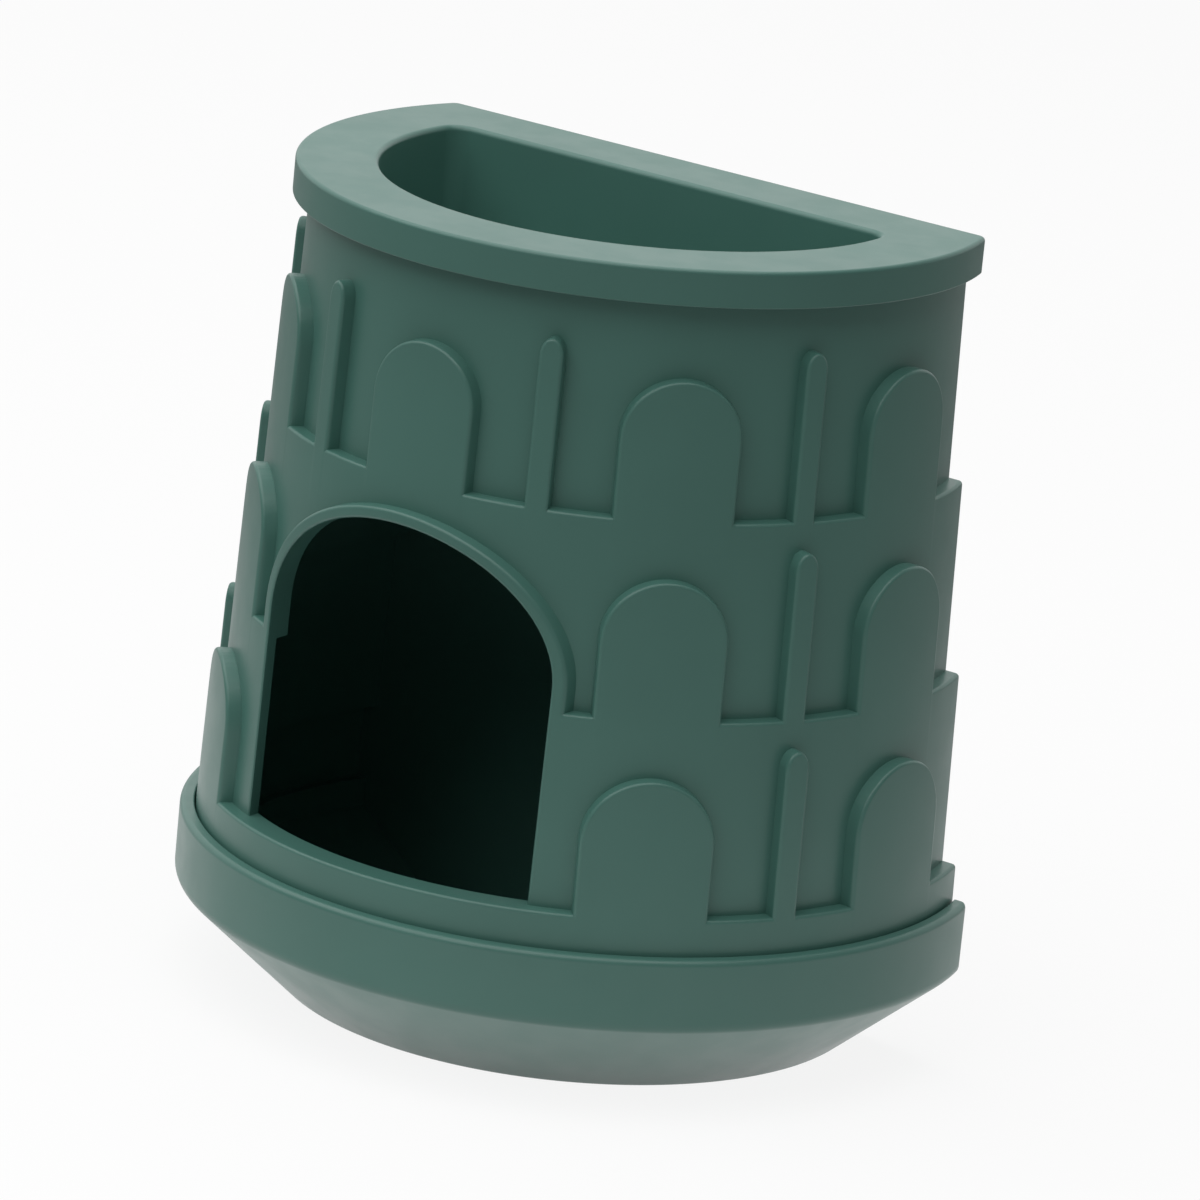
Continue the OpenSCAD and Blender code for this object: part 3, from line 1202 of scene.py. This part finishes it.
@dataclass
class SuctionCup(Piece):
    """A soft suction cup: a button head inside the wall, a neck, a hub and a hollow bell."""

    x: float
    z: float
    bell_r: float = 12.0
    bell_h: float = 5.5
    lip_h: float = 0.8
    lip_round: float = 0.3
    hollow_r: float = 11.2
    hollow_h: float = 2.6
    hub_r: float = 6.0
    hub_t: float = 2.0
    hub_round: float = 0.5
    waist_round: float = 0.625
    neck_r: float = 2.4
    head_r: float = 4.2
    head_t: float = 2.6
    head_round: float = 1.2
    hollow_steps: int = 16
    step_deg: float = 5.0

    def build(self) -> BMesh:
        """Models the suction cup, turned to face away from the tower's back.

        Returns:
            The closed solid.
        """
        head_low = -self.wall.thick
        head_top = head_low - self.head_t
        outside = rounded([
            Corner(0, head_top),
            Corner(self.head_r, head_top, self.head_round),
            Corner(self.head_r, head_low, self.head_round),
            Corner(self.neck_r, head_low),
            Corner(self.neck_r, 0),
            Corner(self.hub_r, 0, self.hub_round),
            Corner(self.hub_r, self.hub_t, self.waist_round),
            Corner(self.bell_r, self.bell_h - self.lip_h, self.lip_round),
            Corner(self.bell_r, self.bell_h, self.lip_round),
            Corner(self.hollow_r, self.bell_h),
        ])
        bm = spun(outside[:-1] + self.dome(), self.step_deg)
        outwards = Matrix.Rotation(-math.pi / 2, 3, "X")
        bmesh.ops.rotate(bm, cent=(0, 0, 0), matrix=outwards, verts=bm.verts)
        bmesh.ops.translate(bm, vec=(self.x, self.wall.back_y, self.z), verts=bm.verts)
        return bm

    def dome(self) -> list[Vector]:
        """Draws the round hollow of the bell.

        Returns:
            Points from the lip to the axis.
        """
        radius = (self.hollow_r ** 2 + self.hollow_h ** 2) / (2 * self.hollow_h)
        half = math.asin(self.hollow_r / radius)
        centre_z = self.bell_h - self.hollow_h + radius
        angles = [half * step / self.hollow_steps for step in range(self.hollow_steps, 0, -1)]
        points = [Vector((radius * math.sin(a), centre_z - radius * math.cos(a))) for a in angles]
        return [*points, Vector((0, centre_z - radius))]


@dataclass
class Studio:
    """Camera, soft light and pale floor, in metres and degrees."""

    azimuth: float = 34.27
    elevation: float = 15.96
    roll: float = 5.67
    lens: float = 241.78
    distance: float = 1.166
    aim_right: float = -0.00665
    aim_up: float = -0.06031
    aim_z: float = 0.123
    floor_half: float = 3.0
    # Painted pool of light on the floor: the colour that it bounces near the object, the distances over
    # which it fades and the share of it left far away
    floor_bounce: float = 0.8
    painted_pool_span: tuple[float, float] = (0.08, 0.35)
    painted_pool_dim: float = 0.35
    floor_white: float = 0.88
    sky_strength: float = 0.165
    backdrop_span: tuple[float, float] = (-0.2, 0.8)
    room: float = 0.2
    lamp_place: tuple[float, float, float] = (-0.2, -0.32, 1.2)
    lamp_aim_z: float = 0.06
    lamp_power: float = 21.0
    lamp_size: float = 2.0

    def build(self) -> None:
        """Sets up everything around the object."""
        bpy.context.scene.view_settings.view_transform = "Standard"
        self.camera()
        self.floor()
        self.sky()
        self.lamp()

    def camera(self) -> None:
        """Places the camera at the photograph's viewing angle."""
        azimuth, elevation, roll = (math.radians(a) for a in (self.azimuth, self.elevation, self.roll))
        flat = math.cos(elevation)
        back = Vector((math.sin(azimuth) * flat, -math.cos(azimuth) * flat, math.sin(elevation)))
        level = Vector((math.cos(azimuth), math.sin(azimuth), 0))
        upright = back.cross(level)
        right = math.cos(roll) * level + math.sin(roll) * upright
        up = math.cos(roll) * upright - math.sin(roll) * level
        data = bpy.data.cameras.new("camera")
        data.lens = self.lens
        obj = bpy.data.objects.new("camera", data)
        turn = Matrix((right, up, back)).transposed().to_4x4()
        aim = Vector((0, 0, self.aim_z))
        place = aim + self.distance * back + self.aim_right * right + self.aim_up * up
        obj.matrix_world = Matrix.Translation(place) @ turn
        bpy.context.scene.collection.objects.link(obj)
        bpy.context.scene.camera = obj

    def floor(self) -> None:
        """Lays a pale floor that reads as white and keeps the object's shadow, with a painted pool of light
        around the object in its colour and in the glow that reflections see.
        """
        bm = bmesh.new()
        bmesh.ops.create_grid(bm, x_segments=1, y_segments=1, size=self.floor_half)
        obj = set_out("floor", bm)
        material = bpy.data.materials.new("pale_floor")
        board = NodeBoard(material)
        place = board.add("ShaderNodeTexCoord")
        away = board.add("ShaderNodeVectorMath", operation="LENGTH")
        board.wire(place.outputs["Object"], away.inputs[0])
        path = board.add("ShaderNodeLightPath")
        # Painted pool of light: near the object the floor glows brighter in reflections and is paler for
        # the light it bounces, fading with distance
        painted_light_pool = board.ranged(away.outputs["Value"], 1.0, self.painted_pool_dim, self.painted_pool_span)
        painted_pool_bounce = board.ranged(away.outputs["Value"], self.floor_bounce, self.floor_bounce * self.painted_pool_dim,
                              self.painted_pool_span)
        matt = board.add("ShaderNodeBsdfDiffuse")
        board.wire(board.either(path.outputs["Is Diffuse Ray"], painted_pool_bounce), matt.inputs["Color"])
        white = board.add("ShaderNodeEmission")
        board.wire(board.either(path.outputs["Is Glossy Ray"], painted_light_pool), white.inputs["Strength"])
        board.split("ShaderNodeOutputMaterial", matt.outputs["BSDF"], white.outputs["Emission"],
                    self.floor_white)
        obj.data.materials.append(material)

    def sky(self) -> None:
        """Sets a soft even sky.

        The camera sees it as white. Reflections show it as white behind the object and dimmer elsewhere.
        """
        world = bpy.data.worlds.new("sky")
        bpy.context.scene.world = world
        board = NodeBoard(world)
        place = board.add("ShaderNodeTexCoord")
        behind = board.add("ShaderNodeVectorMath", operation="DOT_PRODUCT")
        azimuth = math.radians(self.azimuth)
        behind.inputs[1].default_value = (-math.sin(azimuth), math.cos(azimuth), 0)
        board.wire(place.outputs["Generated"], behind.inputs[0])
        fade = board.ranged(behind.outputs["Value"], self.room, 1.0, self.backdrop_span)
        path = board.add("ShaderNodeLightPath")
        seen = board.add("ShaderNodeMath", operation="MAXIMUM")
        board.wire(path.outputs["Is Camera Ray"], seen.inputs[0])
        board.wire(fade, seen.inputs[1])
        light = board.add("ShaderNodeBackground")
        light.inputs["Strength"].default_value = self.sky_strength
        white = board.add("ShaderNodeBackground")
        board.wire(seen.outputs[0], white.inputs["Strength"])
        for background in (light, white):
            background.inputs["Color"].default_value = (1, 1, 1, 1)
        board.split("ShaderNodeOutputWorld", light.outputs["Background"], white.outputs["Background"], 1.0)

    def lamp(self) -> None:
        """Hangs a square soft lamp that faces the object."""
        data = bpy.data.lights.new("overhead", "AREA")
        data.energy = self.lamp_power
        data.size = self.lamp_size
        obj = bpy.data.objects.new("overhead", data)
        obj.location = self.lamp_place
        away = Vector(self.lamp_place) - Vector((0, 0, self.lamp_aim_z))
        obj.rotation_euler = away.to_track_quat("Z", "Y").to_euler()
        bpy.context.scene.collection.objects.link(obj)


def main() -> None:
    """Builds the hideout piece by piece, then the studio around it."""
    logging.basicConfig(level=logging.INFO, format="%(message)s")
    wall = Wall()
    plastic = MouldedPlastic("green_plastic").material()
    vinyl = ClearVinyl("clear_vinyl").material()
    tray = BaseTray(Place("base_tray_moulding", Body.TRAY, Slot.TRAY, "base_tray"), wall)
    tower = TowerShell(Place("tower_moulding", Body.TOWER, Slot.TOWER, "tower_shell"), wall)
    cup = FeedingCup(Place("feeding_cup_moulding", Body.CUP, Slot.CUP, "feeding_cup"), wall)
    for moulding in (tray, tower, cup):
        moulding.dress(plastic)
    for side, x in zip(("left", "right"), tower.neck_xs):
        for level, z in zip(("low", "top"), tower.neck_zs):
            node = f"suction_cup_{level}_{side}"
            place = Place(f"{node}_vinyl", Body.TOWER, Slot.VINYL, node)
            SuctionCup(place, wall, x, z).dress(vinyl)
    Studio().build()


if __name__ == "__main__":
    main()
